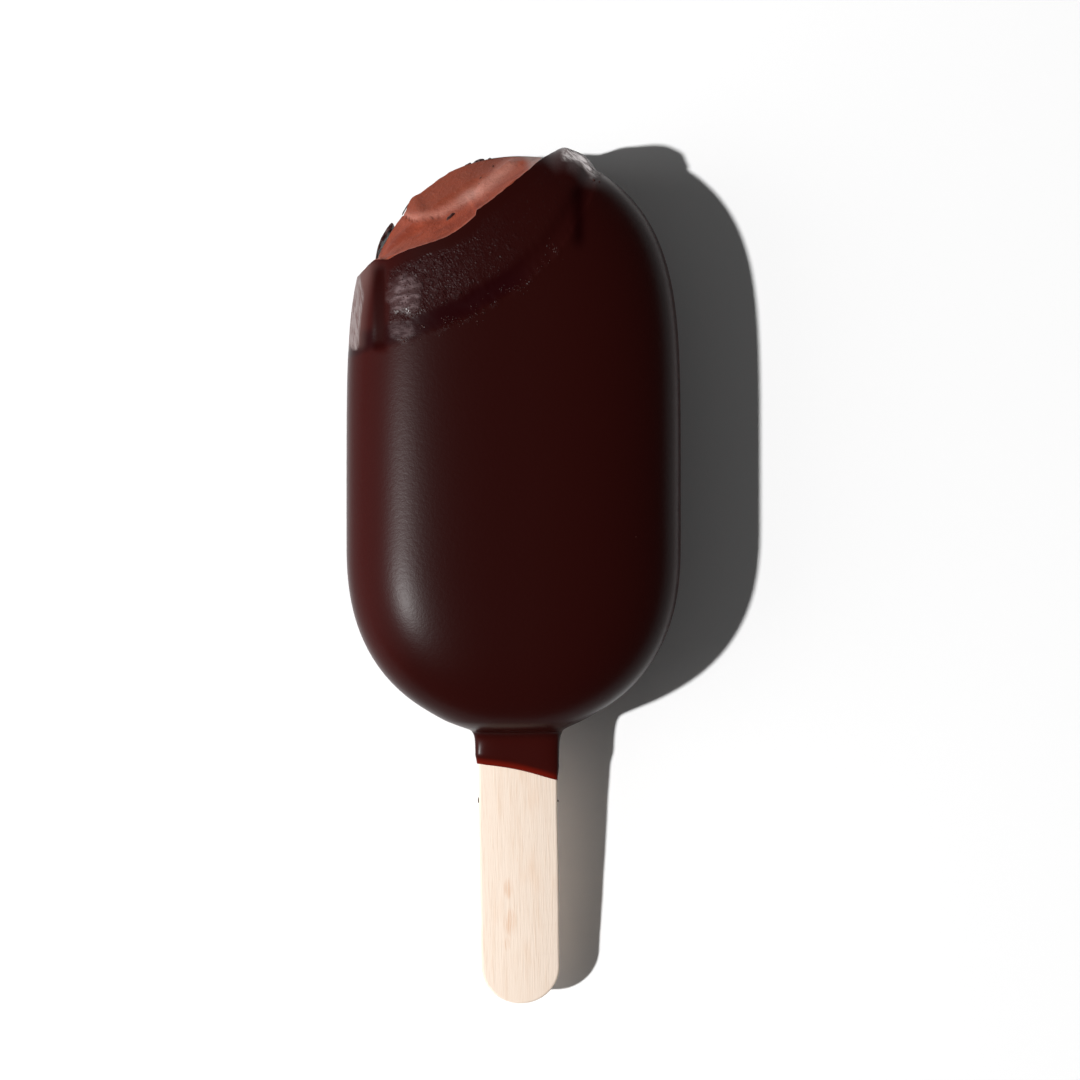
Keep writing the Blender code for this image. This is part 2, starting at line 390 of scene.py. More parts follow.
def drawn_in(x, y, z):
    """The point at height z that looks to be at that place from the camera's height."""
    nearer = 1.0 - max(z, 0.0) / EYE_HEIGHT
    return Vector((
        VIEW_MIDDLE.x + (x - VIEW_MIDDLE.x) * nearer,
        VIEW_MIDDLE.y + (y - VIEW_MIDDLE.y) * nearer,
        z,
    ))


def half_width(y, inset):
    """Half of the outline's width at y, for a surface that lies inset below the chocolate's outside."""
    if y < WIDEST_AT:
        reach = WIDEST_AT - inset
        power, root = STICK_END_POWERS
    else:
        reach = BAR_LENGTH - WIDEST_AT - inset
        power, root = BITE_END_POWERS
    run = min(abs(y - WIDEST_AT) / reach, 1.0)
    return (BAR_HALF_WIDTH - inset) * (1.0 - run**power) ** (1.0 / root)


def half_height(y, inset):
    """Half of the bar's thickness at y: level along the middle, rounded over at both ends."""
    from_end = max(min(y, BAR_LENGTH - y) - inset, 0.0)
    fall = max(1.0 - from_end / (END_ROUND - inset), 0.0)
    return (BAR_HALF_THICKNESS - inset) * (1.0 - fall**END_POWER) ** (1.0 / END_POWER)


def section_point(angle, width, height, power):
    """The point of a squared-off ellipse that lies towards angle, as x and z."""
    across, up = math.cos(angle), math.sin(angle)
    size = (abs(across) ** power + abs(up) ** power) ** (1.0 / power)
    return width * across / size, height * up / size


def bar_point(y, angle, inset):
    """A point of the plain bar, before the sleeve and the bite."""
    x, z = section_point(angle, half_width(y, inset), half_height(y, inset), SECTION_POWER)
    return Vector((x, y, max(z, REST_FLAT + inset - BAR_HALF_THICKNESS)))


def top_height(x, y):
    """Height of the chocolate's upper surface over a place, or 0 outside the outline."""
    width = half_width(y, 0.0)
    if not 0.0 < y < BAR_LENGTH or abs(x) >= width:
        return 0.0
    return half_height(y, 0.0) * (1.0 - (abs(x) / width) ** SECTION_POWER) ** (1.0 / SECTION_POWER)


def even_stations(low, high, inset, step):
    """Ring positions between two ends, about step(y) apart along the surface."""
    stations = [low]
    slices = 4000
    gone = 0.0
    last = (low, half_width(low, inset), half_height(low, inset))
    for index in range(1, slices + 1):
        share = 0.5 - 0.5 * math.cos(math.pi * index / slices)
        y = low + (high - low) * share
        here = (y, half_width(y, inset), half_height(y, inset))
        gone += math.dist(here, last)
        last = here
        if gone >= step(y) and high - y > HAIR:
            stations.append(y)
            gone = 0.0
    return stations + [high]


def even_angles(step):
    """Angles around the bar's widest section, about step(angle) apart along it, starting from +x."""
    slices = 7200
    angles = [0.0]
    gone = 0.0
    last = section_point(0.0, BAR_HALF_WIDTH, BAR_HALF_THICKNESS, SECTION_POWER)
    for index in range(1, slices):
        angle = 2.0 * math.pi * index / slices
        here = section_point(angle, BAR_HALF_WIDTH, BAR_HALF_THICKNESS, SECTION_POWER)
        gone += math.dist(here, last)
        last = here
        if gone >= step(angle):
            angles.append(angle)
            gone = 0.0
    return angles


def ringed_form(stations, angles, point):
    """A ball whose rings are moved to the stations, and whose points are placed by point(y, angle)."""
    shape = bmesh.new()
    rings = len(stations) - 1
    around = len(angles)
    bmesh.ops.create_uvsphere(shape, u_segments=around, v_segments=rings, radius=1.0)
    for vertex in shape.verts:
        down = math.acos(max(-1.0, min(1.0, vertex.co.z)))
        ring = round(down / math.pi * rings)
        turn = math.atan2(vertex.co.y, vertex.co.x) / (2.0 * math.pi)
        angle = angles[round(turn * around) % around]
        y = stations[ring]
        if ring in (0, rings):
            vertex.co = (point(y, 0.0) + point(y, math.pi)) / 2
        else:
            vertex.co = point(y, angle)
    bmesh.ops.recalc_face_normals(shape, faces=shape.faces)
    return shape


def plain_bar(inset):
    angles = [2.0 * math.pi * index / CORE_AROUND for index in range(CORE_AROUND)]
    stations = even_stations(inset, BAR_LENGTH - inset, inset, lambda y: CORE_STEP)
    return ringed_form(stations, angles, lambda y, angle: bar_point(y, angle, inset))


def bump(place, half_width, height, at):
    """A round-topped bump of that height, which ends half_width to each side of its place."""
    away = min(abs(at - place) / half_width, 1.0)
    return height * math.cos(math.pi / 2 * away) ** 2


def from_bite(along, out, z):
    """The point at height z that is seen that far along the bite and that far out."""
    place = BITE_MIDDLE + BITE_SIDE * along + BITE_OUT * out
    return drawn_in(place.x, place.y, z)


def bite_edge(along):
    """How far out the bite starts on top: one deep tooth mark, a nick, then a second that runs out."""
    place, near_half, far_half, height = NEAR_CORNER
    corner = bump(place, near_half if along < place else far_half, height, along)
    first = corner - bump(*FIRST_TOOTH, along)
    past = min(max(along - NICK[1], 0.0), SECOND_TOOTH_LENGTH)
    second = SECOND_TOOTH_START + SECOND_TOOTH_SLOPE * past**2 / (past + SECOND_TOOTH_CURVE)
    after_nick = smooth_step(*NICK, along)
    return first * (1.0 - after_nick) + second * after_nick


@functools.lru_cache(maxsize=None)
def face_top(along):
    """The height at which the bitten face starts: the ice cream's own upper surface at the bite's edge."""
    place = from_bite(along, bite_edge(along), BAR_HALF_THICKNESS)
    place = from_bite(along, bite_edge(along), top_height(place.x, place.y))
    return max(top_height(place.x, place.y) - COATING, LEAST_TOP)


def bite_depth(along, z):
    """How far out the bitten face lies, at a place along the bite and a height."""
    edge = bite_edge(along)
    rim = max(BITE_RIM - BITE_RIM_CURVE * along**2 + bump(*RIM_KNOB, along), edge)
    top = face_top(along)
    if z >= top:
        return edge + UNDERCUT * (z - top)
    if z <= 0.0:
        return rim + UNDERCUT * z
    down = 1.0 - z / top
    steady = 1.0 - LEDGE_SHARE - HOLLOW_SHARE
    share = steady * down + LEDGE_SHARE * smooth_step(*LEDGE, down) + HOLLOW_SHARE * down**2
    return edge + (rim - edge) * share


def crack_place(along):
    """How far out the crack across the bitten face lies: it climbs to the rim at the near end."""
    before = CRACK_END - along
    return CRACK_STEP + CRACK_SLOPE * before + CRACK_CURVE * max(before - CRACK_BEND, 0.0) ** 2


def crack_share(along, out):
    """1 in the middle of the crack, and 0 beside it and past its ends."""
    waver = CRACK_WAVER * noise.noise(Vector((along * 900.0, 0.0, 9.0)))
    line = bump(crack_place(along) + waver, CRACK_HALF_WIDTH, 1.0, out)
    return line * within(CRACK_START, (CRACK_END - CRACK_FADE, CRACK_END), along)


def crest_place(along):
    """How far out the pale crest between the two teeth's marks lies."""
    beside_crack = max(crack_place(along) + 0.0006, CREST)
    past_crack = smooth_step(CRACK_END - 0.001, CRACK_END + 0.002, along)
    return beside_crack + (CREST - beside_crack) * past_crack + CREST_SLOPE * max(along - CREST_BEND, 0.0)


def crest_share(along, out):
    """1 on the far part of the crest, where it is sharp, and 0 away from it."""
    return math.exp(-(((out - crest_place(along)) / CREST_WIDTH) ** 2)) * within(*CREST_SHARP, along)


def tooth_marks(along, z):
    """What the teeth and the soft, icy crumb of the ice cream add to the bitten face."""
    far = Vector((along, z, 0.0))
    swell = noise.noise(far * 180.0 + Vector((3.0, 0.0, 0.0)))
    drag = noise.noise(Vector((along * 520.0 + z * 160.0, z * 90.0, 5.0)))
    pits = noise.noise(far * 1150.0)
    out = bite_depth(along, z)
    raised = CREST_HEIGHT * crest_share(along, out) - CRACK_DEPTH * crack_share(along, out)
    return SWELLS * swell + DRAG_MARKS * drag + PITS * pits + raised


def bitten_wall(depth):
    """A wall shaped like the bitten face, drawn outwards past the bar's corner."""
    shape = bmesh.new()
    steps_along, steps_up = FACE_STEPS
    bmesh.ops.create_grid(shape, x_segments=steps_along, y_segments=steps_up, size=1.0)
    low, high = BITE_STRETCH
    for vertex in shape.verts:
        along = low + (high - low) * (vertex.co.x + 1.0) / 2.0
        z = BITE_CLEARANCE * BAR_HALF_THICKNESS * vertex.co.y
        vertex.co = from_bite(along, depth(along, z), z)
    grown = bmesh.ops.extrude_face_region(shape, geom=shape.faces[:])
    moved = [part for part in grown["geom"] if isinstance(part, bmesh.types.BMVert)]
    bmesh.ops.translate(shape, verts=moved, vec=BITE_OUT * BITE_OUTWARD)
    return shape


def carve(piece, cutters, sharp=40.0):
    """Takes the cutters' room out of the piece for good, and removes the cutters."""
    for cutter in cutters:
        modifier = piece.modifiers.new("less " + cutter.name, "BOOLEAN")
        modifier.operation = "DIFFERENCE"
        modifier.solver = "MANIFOLD"
        modifier.object = cutter
    graph = bpy.context.evaluated_depsgraph_get()
    carved = bpy.data.meshes.new_from_object(piece.evaluated_get(graph))
    piece.modifiers.clear()
    piece.data = carved
    carved.shade_smooth()
    carved.set_sharp_from_angle(angle=math.radians(sharp))
    for cutter in cutters:
        bpy.data.objects.remove(cutter)


def stick_slot(room):
    shape = pill(STICK_LENGTH + room, STICK_WIDTH + 2 * room, STICK_THICKNESS + 2 * room, STICK_EDGE, 0, 0.0)
    return make_piece("slot", lay_in_bar(shape))


def ice_cream_finish():
    ice = Finish(
        "chocolate ice cream",
        {
            "Roughness": 0.6,
            "Specular IOR Level": 0.12,
            "Subsurface Weight": 0.2,
            "Subsurface Radius": (0.0016, 0.0006, 0.0004),
            "Subsurface Scale": 1.0,
        },
    )
    clouds = ice.grain((0.0042, 0.0022, 0.0026), BITE_TURN, 3.0, 0.55)
    crumb = ice.grain(0.00055, 0.0, 4.0, 0.65)
    specks = ice.grain(0.00042, 0.0, 1.0, 0.5)
    frost = ice.grain((0.0030, 0.0012, 0.0016), BITE_TURN, 4.0, 0.6)
    upper, crest_pale_and_highlight, crack = ice.mask("upper"), ice.mask("crest_pale_and_highlight"), ice.mask("crack")
    shaded_tip_and_frost, edge_highlight = ice.mask("shaded_tip_and_frost"), ice.mask("edge_highlight")
    colour = ice.mix(clouds.rise(0.35, 0.65) * 0.8, ICE_CREAM, ICE_CREAM_DEEP)
    colour = ice.mix(upper * (0.55 + clouds * 0.6), colour, ICE_CREAM_UPPER)
    # Paler ice cream and a painted highlight along the crest between the teeth's marks.
    colour = ice.mix(crest_pale_and_highlight * (0.50 + frost * 0.80), colour, ICE_CREAM_PALE_AND_HIGHLIGHT)
    colour = ice.mix(crumb.rise(0.58, 0.75) * 0.25, colour, ICE_CREAM_PALE_AND_HIGHLIGHT)
    colour = ice.mix(specks.rise(0.69, 0.76) * 0.5, colour, ICE_CREAM_DEEP)
    # Painted grey shade on the far tip, and grey frost on the crest.
    colour = ice.mix(shaded_tip_and_frost * (0.5 + frost * 0.7), colour, ICE_CREAM_GREY_SHADE_AND_FROST)
    # Painted highlight: a thin pale line along the bite's edge.
    colour = ice.mix(edge_highlight * 0.35, colour, ICE_CREAM_PALE_AND_HIGHLIGHT)
    # Painted shade: the crack across the bitten face is painted dark.
    colour = ice.mix(crack * 0.85, colour, ICE_CREAM_CRACK_SHADE)
    relief = crumb * 0.6 + clouds * 0.4
    return ice.paint(Base_Color=colour, Normal=ice.bumps(relief, 0.00035))


def paint_masks(piece, masks):
    """Gives the piece its masks, each worked out at the places where its points are seen from above."""
    seen = [as_seen(vertex.co - BAR_PLACE) for vertex in piece.data.vertices]
    for name, value in masks.items():
        layer = piece.data.attributes.new(name, "FLOAT", "POINT")
        layer.data.foreach_set("value", [value(point) for point in seen])


def bite_place(point):
    """How far along the bite a point is seen, and how far out."""
    away = point - BITE_MIDDLE
    return away.dot(BITE_SIDE), away.dot(BITE_OUT)


def pale_crest_and_highlight_mask(point):
    """The pale crest: paler ice cream with a painted highlight where it faces the lamp, wider and paler at
    the far end.
    """
    along, out = bite_place(point)
    width = 0.0007 + 0.0003 * smooth_step(-0.003, 0.003, along)
    band = math.exp(-(((out - crest_place(along)) / width) ** 2))
    strength = 0.70 + 0.30 * smooth_step(-0.001, 0.003, along)
    return band * strength * within((-0.0098, -0.0080), (0.0085, 0.0115), along)


def upper_mask(point):
    """The darker stretch between the crest and the rim."""
    along, out = bite_place(point)
    return smooth_step(crest_place(along) + 0.0002, crest_place(along) + 0.0010, out)


def shaded_tip_and_frost_mask(point):
    """Painted grey shade on the far tip, and a patch of grey frost in the middle of the crest."""
    along, out = bite_place(point)
    patch = Vector(((along - 0.0012) / 0.0024, (out - 0.0023) / 0.0010)).length
    return max(smooth_step(0.0106, 0.0122, along), 0.3 * (1.0 - smooth_step(0.4, 1.1, patch)))


def edge_highlight_mask(point):
    """A painted highlight: a thin pale line along the bite's edge."""
    along, out = bite_place(point)
    return 1.0 - smooth_step(0.00006, 0.00022, abs(out - bite_edge(along)))


# Where the crack's painted shade goes.
def crack_shade_mask(point):
    return crack_share(*bite_place(point))


ice_cream = make_piece("ice_cream_core", plain_bar(COATING), ice_cream_finish())
bite = make_piece("bite", bitten_wall(lambda along, z: bite_depth(along, z) + tooth_marks(along, z)))
carve(ice_cream, [stick_slot(0.0), bite])
paint_masks(ice_cream, {
    "upper": upper_mask,
    "crest_pale_and_highlight": pale_crest_and_highlight_mask,
    "crack": crack_shade_mask,
    "shaded_tip_and_frost": shaded_tip_and_frost_mask,
    "edge_highlight": edge_highlight_mask,
})
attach(ice_cream, "root")
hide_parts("ice_cream")


# ---- The chocolate coat ----
# Dark chocolate, dipped warm and set as a hard shell of 1.2 mm, with a sleeve where it ran down the stick.
# The bite cracked it: a wide lip behind its edge is pressed in, grooved, crumbed and bloomed grey in places.
# The grey patches also carry a painted reflection, and the lip's folds are painted darker as shade.

SLEEVE_WALL = 0.0006
SLEEVE_SIDE_WALL = 0.00038
SLEEVE_LENGTH = 0.0060
SLEEVE_SLANT = 0.21
SLEEVE_POWERS = (3.4, 6.0)
SLEEVE_TAPER = 0.6
SLEEVE_TAPER_FROM = 0.70
SLEEVE_CURVE = 0.00045
FLARE_SIDE = 0.0005
FLARE_UP = 0.0009
FLARE_LENGTH = 0.0008
FILLET = 0.0015
FILLET_POWER = 4.0
LIFTED_MIDDLE = Vector((0.0087, 0.0856))
LIFTED_RADIUS = 0.0035
LIFTED_BY = 0.0013
LIFTED_FROM = (0.0050, 0.0074)
LIFTED_ABOVE = (-0.010, 0.0)
CAP_MIDDLE = Vector((0.0075, 0.0813))
CAP_RISE = 0.0036
CAP_RISE_WITHIN = (0.0034, 0.0062)
CAP_TURN = ((10.0, 30.0), (78.0, 104.0))
CAP_ABOVE = (-0.0004, 0.0022)
FINE_STEP = 0.00028
COARSE_STEP = 0.00085
FINE_FROM = 0.055
FINE_ANGLES = (math.radians(40), math.radians(186))
EDGE_CHIPS = 0.00007

CRUMPLED = (
    # x, y, half across, half up, strength
    (-0.0163, 0.0655, 0.0030, 0.0033, 1.0),
    (-0.0168, 0.0603, 0.0022, 0.0019, 0.45),
)
LIP_FURTHEST = -0.0136
LIP_BEND = (6.5, 18.5)
LIP_BEND_AT = -0.002
LIP_PRESSED = 0.00012
GROOVE_WIDTH = 0.0035
GROOVE_DEPTH = 0.00028
SCALE_HEIGHT = 0.00004
SWELL_HEIGHT = 0.00007
LIMIT_WIDTH = 0.00045
LIMIT_HEIGHT = 0.00014
LUMP_HEIGHT = 0.00010
WRINKLE_HEIGHT = 0.00006
GRIT_HEIGHT = 0.00003
FOLD_WIDTH = 0.0010
NEAR_FOLD_AT = -0.0201
NEAR_FOLD_STRETCH = ((0.0565, 0.0585), (0.0690, 0.0705))
NEAR_FOLD_DEPTH = 0.00022
FAR_FOLD_AT = 0.0098
FAR_FOLD_STRETCH = ((0.0715, 0.0745), (0.0805, 0.0825))
FAR_FOLD_DEPTH = 0.00016
UPPER_SIDE = (0.0, 0.004)
FOLDED_SIDE = (0.0, 0.003)
NO_RELIEF_BELOW = -0.001
NO_RELIEF_BEFORE = 0.05

DARK_CHOCOLATE = (0.0185, 0.0024, 0.0019)
# Painted light: the lighter, redder chocolate painted on the flanks.
PAINTED_LIGHT_FLANK_CHOCOLATE = (0.0355, 0.0042, 0.0036)
GROOVE_CHOCOLATE = (0.0125, 0.0007, 0.0014)
# Painted shade for the two folds down the lip.
NEAR_FOLD_SHADE = (0.0150, 0.0007, 0.0004)
FAR_FOLD_SHADE = (0.0075, 0.0003, 0.0004)
BROKEN_CHOCOLATE = (0.021, 0.0036, 0.0036)
THIN_CHOCOLATE = (0.112, 0.0060, 0.0025)
# Pale grey of the white patches: bloomed chocolate with a painted reflection of the lit table.
NEAR_BLOOM_AND_REFLECTION = (0.23, 0.185, 0.18)
FAR_BLOOM_AND_REFLECTION = (0.50, 0.465, 0.46)
# Painted sheen, partly bloomed, around the white patches.
NEAR_HAZE_AND_SHEEN = (0.27, 0.15, 0.135)
FAR_HAZE_AND_SHEEN = (0.33, 0.29, 0.29)
# Pale grey-pink of the crumpled lumps: partly their own bloomed grey, partly a painted highlight.
CRUMPLED_BLOOM_AND_HIGHLIGHT = (0.155, 0.105, 0.108)


def lip_limit(along):
    """How far in from the bite's edge the pressed lip ends, as a place on the way out."""
    away = along - LIP_BEND_AT
    bend = LIP_BEND[1] if away > 0.0 else LIP_BEND[0]
    waver = 0.00045 * noise.noise(Vector((along * 330.0, 2.0, 0.0)))
    waver += 0.00020 * noise.noise(Vector((along * 1300.0, 7.0, 0.0)))
    return LIP_FURTHEST + bend * away**2 + waver


def on_lip(point):
    """1 on the pressed lip and 0 outside it, on the upper side of the bar only."""
    along, out = bite_place(point)
    limit = lip_limit(along)
    return smooth_step(limit - 0.0002, limit + 0.0003, out) * smooth_step(*UPPER_SIDE, point.z)


def rough_share(point):
    """Where the lip is rough and scaly, between its groove and the smooth strip at the bite's edge."""
    along, out = bite_place(point)
    limit = lip_limit(along)
    scaly = smooth_step(limit + 0.0028, limit + 0.0042, out)
    scaly *= 1.0 - smooth_step(bite_edge(along) - 0.0022, bite_edge(along) - 0.0012, out)
    scaly *= 1.0 - 0.55 * smooth_step(-0.0072, -0.0030, along) - 0.3 * smooth_step(-0.001, 0.0075, along)
    scaly *= smooth_step(-0.0192, -0.0180, point.x)
    return scaly * smooth_step(*UPPER_SIDE, point.z)


def limit_crumbs(point):
    """The line of crumbs that stands along the lip's lower limit."""
    along, out = bite_place(point)
    away = (out - lip_limit(along)) / LIMIT_WIDTH
    patchy = smooth_step(-0.25, 0.35, noise.noise(Vector((along * 480.0, 1.0, 3.0))))
    stretch = within((-0.0150, -0.0135), (0.0075, 0.0100), along)
    return math.exp(-away * away) * patchy * stretch * smooth_step(*UPPER_SIDE, point.z)


def lump_share(point):
    """The swollen, crumpled chocolate at the near end of the lip, and the fainter patch below it."""
    shares = []
    for x, y, half_across, half_up, strength in CRUMPLED:
        away = Vector(((point.x - x) / half_across, (point.y - y) / half_up)).length
        away += 0.25 * noise.noise(Vector((point.x * 700.0, point.y * 900.0, 11.0)))
        shares.append(strength * (1.0 - smooth_step(0.50, 1.05, away)))
    return max(shares) * smooth_step(*UPPER_SIDE, point.z)


def near_valley(point):
    """The fold down the near side of the lip."""
    away = (point.x - NEAR_FOLD_AT) / FOLD_WIDTH
    stretch = within(*NEAR_FOLD_STRETCH, point.y)
    return math.exp(-away**4) * stretch * smooth_step(*FOLDED_SIDE, point.z)


def far_valley(point):
    """The fold down the far side of the lip, behind the lifted corner."""
    away = (point.x - FAR_FOLD_AT) / FOLD_WIDTH
    stretch = within(*FAR_FOLD_STRETCH, point.y)
    return math.exp(-away * away) * stretch * smooth_step(*FOLDED_SIDE, point.z)


def relief(point):
    """How far the lip's surface stands out from the smooth dipped form."""
    if point.z < NO_RELIEF_BELOW or point.y < NO_RELIEF_BEFORE:
        return 0.0
    point = as_seen(point)
    along, out = bite_place(point)
    groove_at = lip_limit(along) + 0.55 * GROOVE_WIDTH
    groove = math.exp(-(((out - groove_at) / (0.42 * GROOVE_WIDTH)) ** 2)) * on_lip(point)
    groove *= 0.2 + 0.8 * smooth_step(-0.0125, -0.0075, along)
    scales = noise.noise(Vector((along * 1300.0, out * 1000.0, 0.0)))
    scales += 0.6 * noise.noise(Vector((along * 2600.0, out * 2100.0, 8.0)))
    swells = noise.noise(Vector((along * 420.0, out * 330.0, 20.0)))
    crumbs = 0.6 + noise.noise(point * 2300.0)
    height = -LIP_PRESSED * on_lip(point) * smooth_step(-0.0150, -0.0100, along) - GROOVE_DEPTH * groove
    height += rough_share(point) * (SCALE_HEIGHT * scales + SWELL_HEIGHT * swells)
    height += LIMIT_HEIGHT * limit_crumbs(point) * crumbs
    wrinkles = WRINKLE_HEIGHT * noise.noise(Vector((point.x * 420.0, point.y * 1500.0, 13.0)))
    grit = GRIT_HEIGHT * noise.noise(point * 2100.0)
    height += lump_share(point) * (LUMP_HEIGHT + wrinkles + grit)
    return height - NEAR_FOLD_DEPTH * near_valley(point) - FAR_FOLD_DEPTH * far_valley(point)


def joined(bar_size, sleeve_size):
    """The larger of two sizes, with a soft change from one to the other."""
    return (bar_size**FILLET_POWER + sleeve_size**FILLET_POWER) ** (1.0 / FILLET_POWER)


def around_cap(point):
    """Where a point lies around the lifted corner: the distance from its middle, and the direction."""
    arm = Vector((point.x - CAP_MIDDLE.x, point.y - CAP_MIDDLE.y))
    return arm.length, math.degrees(math.atan2(arm.y, arm.x))


def shell_section(y, down_sleeve, on_sleeve):
    """Half the width, half the height and the power of the outside's section, with the sleeve joined on."""
    on_bar = max(y, 0.0)
    sleeve_left = 1.0 - smooth_step(FILLET, 4 * FILLET, y)
    full = 1.0 - SLEEVE_TAPER * smooth_step(SLEEVE_TAPER_FROM, 1.0, down_sleeve)
    flare = math.exp(min(y, 0.0) / FLARE_LENGTH)
    sleeve_width = STICK_WIDTH / 2 + SLEEVE_SIDE_WALL * full + FLARE_SIDE * flare
    sleeve_height = STICK_THICKNESS / 2 + SLEEVE_WALL * full + FLARE_UP * flare
    width = joined(half_width(on_bar, 0.0), sleeve_left * sleeve_width)
    height = joined(half_height(on_bar, 0.0), sleeve_left * sleeve_height)
    squarer = SLEEVE_POWERS[0] + (SLEEVE_POWERS[1] - SLEEVE_POWERS[0]) * down_sleeve
    return width, height, SECTION_POWER + (squarer - SECTION_POWER) * on_sleeve


def corner_lift(x, y, z):
    """How far the coat's far corner stands off the ice cream, which is outwards."""
    away = Vector((x, y)) - LIFTED_MIDDLE
    lift = LIFTED_BY * math.exp(-((away.length / LIFTED_RADIUS) ** 4)) * smooth_step(*LIFTED_FROM, x)
    outward = Vector((x, y - BAR_LENGTH + END_ROUND, 0.0)).normalized()
    return outward * lift * smooth_step(*LIFTED_ABOVE, z)


def cap_rise(point, z):
    """How much higher the lifted corner's cap stands than the plain bar."""
    away, turn = around_cap(point)
    raised = within(*CAP_TURN, turn) * smooth_step(*CAP_ABOVE, z)
    return CAP_RISE * smooth_step(*CAP_RISE_WITHIN, away) * raised


def shell_point(y, angle):
    """A point of the chocolate's outside, with the sleeve on the stick and the lifted corner."""
    on_sleeve = 1.0 - smooth_step(0.0, FILLET, y)
    down_sleeve = max(-y, 0.0) / SLEEVE_LENGTH
    width, height, power = shell_section(y, down_sleeve, on_sleeve)
    x, z = section_point(angle, width, height, power)
    curve = SLEEVE_CURVE * (1.0 - (x / max(width, SLEEVE_WALL)) ** 2)
    x += STICK_SIDE * on_sleeve
    slanted = y + (curve - SLEEVE_SLANT * x) * down_sleeve
    z = max(z + stick_height(slanted) * on_sleeve, REST_FLAT - BAR_HALF_THICKNESS)
    point = Vector((x, slanted, z)) + corner_lift(x, y, z)
    place = as_seen(point)
    return drawn_in(place.x, place.y, z + cap_rise(point, z))


def shell_stations():
    """The sleeve's rings, with its end twice to close it flat, then the bar's own."""
    sleeve = [-SLEEVE_LENGTH] + [-SLEEVE_LENGTH * (1.0 - index / 24) for index in range(24)]
    fillet = [FILLET * (index / 8 - 0.25) for index in range(1, 8)]
    step = lambda y: COARSE_STEP + (FINE_STEP - COARSE_STEP) * smooth_step(FINE_FROM - 0.006, FINE_FROM, y)
    bar = [y for y in even_stations(0.0, BAR_LENGTH, 0.0, step) if y > FILLET]
    return sleeve + fillet + bar


def shell_angles():
    low, high = FINE_ANGLES
    margin = math.radians(10)

    def step(angle):
        share = smooth_step(low - margin, low, angle) * (1.0 - smooth_step(high, high + margin, angle))
        return COARSE_STEP + (FINE_STEP - COARSE_STEP) * share

    return even_angles(step)


def broken_edge(along, z):
    """The bitten face as the chocolate has it: the shell on top snapped off square along the bite's edge."""
    out = bite_depth(along, z)
    place = from_bite(along, out, z)
    below = top_height(place.x, place.y) - z
    square = smooth_step(1.9 * COATING, 1.2 * COATING, below)
    chips = EDGE_CHIPS * noise.noise(Vector((along * 1100.0, 3.0, z * 300.0)))
    return out + (bite_edge(along) + chips - out) * square


def near_flank(point):
    """How far in from the near side's outline a point of the upper side lies, and its height's share."""
    inwards = half_width(point.y, 0.0) - abs(point.x)
    return inwards, float(point.x < 0.0) * smooth_step(-0.0045, -0.002, point.z)


def bloom_and_reflection_mask(point):
    """Where the chocolate is scuffed and bloomed white, with a painted reflection of the lit table on the
    same patches: the near flank by the lip, and the lifted corner.
    """
    inwards, near = near_flank(point)
    reach = 0.0014 * smooth_step(0.0694, 0.0650, point.y)
    end = 0.0572 + 0.0011 * ((inwards - 0.0009) / 0.0009) ** 2
    near *= 1.0 - smooth_step(reach - 0.0002, reach + 0.0002, inwards)
    near *= smooth_step(end - 0.0002, end + 0.0002, point.y)
    away, turn = around_cap(point)
    away += 0.0003 * noise.noise(point * 900.0)
    far = smooth_step(0.0040, 0.0048, away) * smooth_step(17.0, 23.0, turn)
    far *= (1.0 - smooth_step(80.0, 98.0, turn)) * smooth_step(-0.006, -0.003, point.z)
    return max(near, far)


def haze_and_sheen_mask(point):
    """A painted sheen with a little fainter bloomed chocolate in it, fading out around the white patches."""
    inwards, near = near_flank(point)
    near *= 0.30 * (1.0 - smooth_step(0.0006, 0.0030, inwards))
    near *= within((0.0568, 0.0582), (0.0695, 0.0710), point.y)
    away, turn = around_cap(point)
    far = 0.30 * within((-8.0, 35.0), (70.0, 90.0), turn)
    far += 0.10 * within((70.0, 90.0), (112.0, 132.0), turn)
    far *= smooth_step(0.0018, 0.0056, away) * smooth_step(0.0, 0.003, point.z)
    return max(near, far)


def thin_mask(point):
    """The thin, red edge in which the sleeve ends on the stick, and a little of it all over the sleeve."""
    across = (point.x - STICK_SIDE) / (STICK_WIDTH / 2)
    end = -SLEEVE_LENGTH - SLEEVE_SLANT * point.x + SLEEVE_CURVE * (1.0 - across**2)
    edge = 1.0 - smooth_step(0.0002, 0.0013, point.y - end)
    return max(edge, 0.12 * (1.0 - smooth_step(-0.0015, 0.0, point.y)))


def groove_mask(point):
    """The bottom of the lip's groove, darkest at the near end."""
    along, out = bite_place(point)
    groove_at = lip_limit(along) + 0.52 * GROOVE_WIDTH
    fading = 1.0 - 0.8 * smooth_step(-0.001, 0.006, along)
    return math.exp(-(((out - groove_at) / (0.5 * GROOVE_WIDTH)) ** 4)) * on_lip(point) * fading


